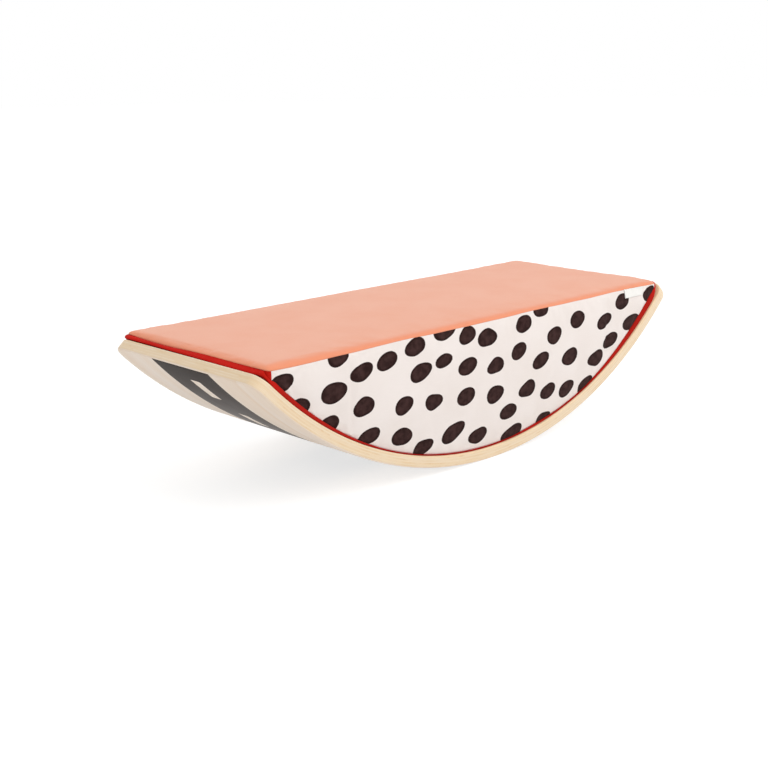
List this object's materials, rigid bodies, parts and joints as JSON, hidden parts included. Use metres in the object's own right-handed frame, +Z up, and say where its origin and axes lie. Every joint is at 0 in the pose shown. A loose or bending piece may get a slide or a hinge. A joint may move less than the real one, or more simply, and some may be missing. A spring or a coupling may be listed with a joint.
{
  "type": "curved balance board with cushion",
  "caption": "Curved plywood balance board with rounded ends and a printed road underneath; a zipped foam cushion with a flat top fills its hollow and lifts out.",
  "frame": {"origin": "on the floor under the middle of the board, where the lowest strip of the convex face touches", "axes": "+X along the board's length, +Y across it towards the zipped back panel, +Z up"},
  "size_m": [0.8124, 0.3, 0.2014],
  "materials": {
    "face_veneer": "satin",
    "long_veneer": "satin",
    "cross_veneer": "satin",
    "road_paint": "satin",
    "foam": "matte",
    "salmon_cloth": "matte",
    "dotted_cloth": "matte",
    "red_cloth": "matte",
    "tag_cotton": "matte",
    "zip_tape": "matte",
    "zip_coil": "satin",
    "zip_metal": "satin"
  },
  "bodies": {
    "board": {"concave_face_veneer": "face_veneer", "core_veneer_2": "cross_veneer", "core_veneer_3": "long_veneer", "core_veneer_4": "cross_veneer", "core_veneer_5": "long_veneer", "core_veneer_6": "cross_veneer", "core_veneer_7": "long_veneer", "core_veneer_8": "cross_veneer", "convex_face_veneer": "face_veneer", "road_print": "road_paint"},
    "cushion": {"foam_core": "foam", "top_panel": "salmon_cloth", "front_panel": "dotted_cloth", "back_panel": "dotted_cloth", "bottom_panel": "red_cloth", "seam_tag": "tag_cotton", "upper_zip_tape": "zip_tape", "lower_zip_tape": "zip_tape", "zip_chain": "zip_coil", "zip_stops": "zip_metal"},
    "slider": {"zip_slider": "zip_metal"},
    "pull": {"zip_pull": "zip_metal"}
  },
  "joints": [
    {"name": "cushion_lift", "type": "slide", "parent": "board", "child": "cushion", "axis": [0, 0, 1], "range_m": [0, 0.22]},
    {"name": "zip_run", "type": "slide", "parent": "cushion", "child": "slider", "axis": [-1, 0, 0], "range_m": [0, 0.643]},
    {"name": "pull_swing", "type": "hinge", "parent": "slider", "child": "pull", "pos_m": [0.32168, 0.14827, 0.18789], "axis": [0, 0, 1], "range_deg": [0, 175]}
  ]
}
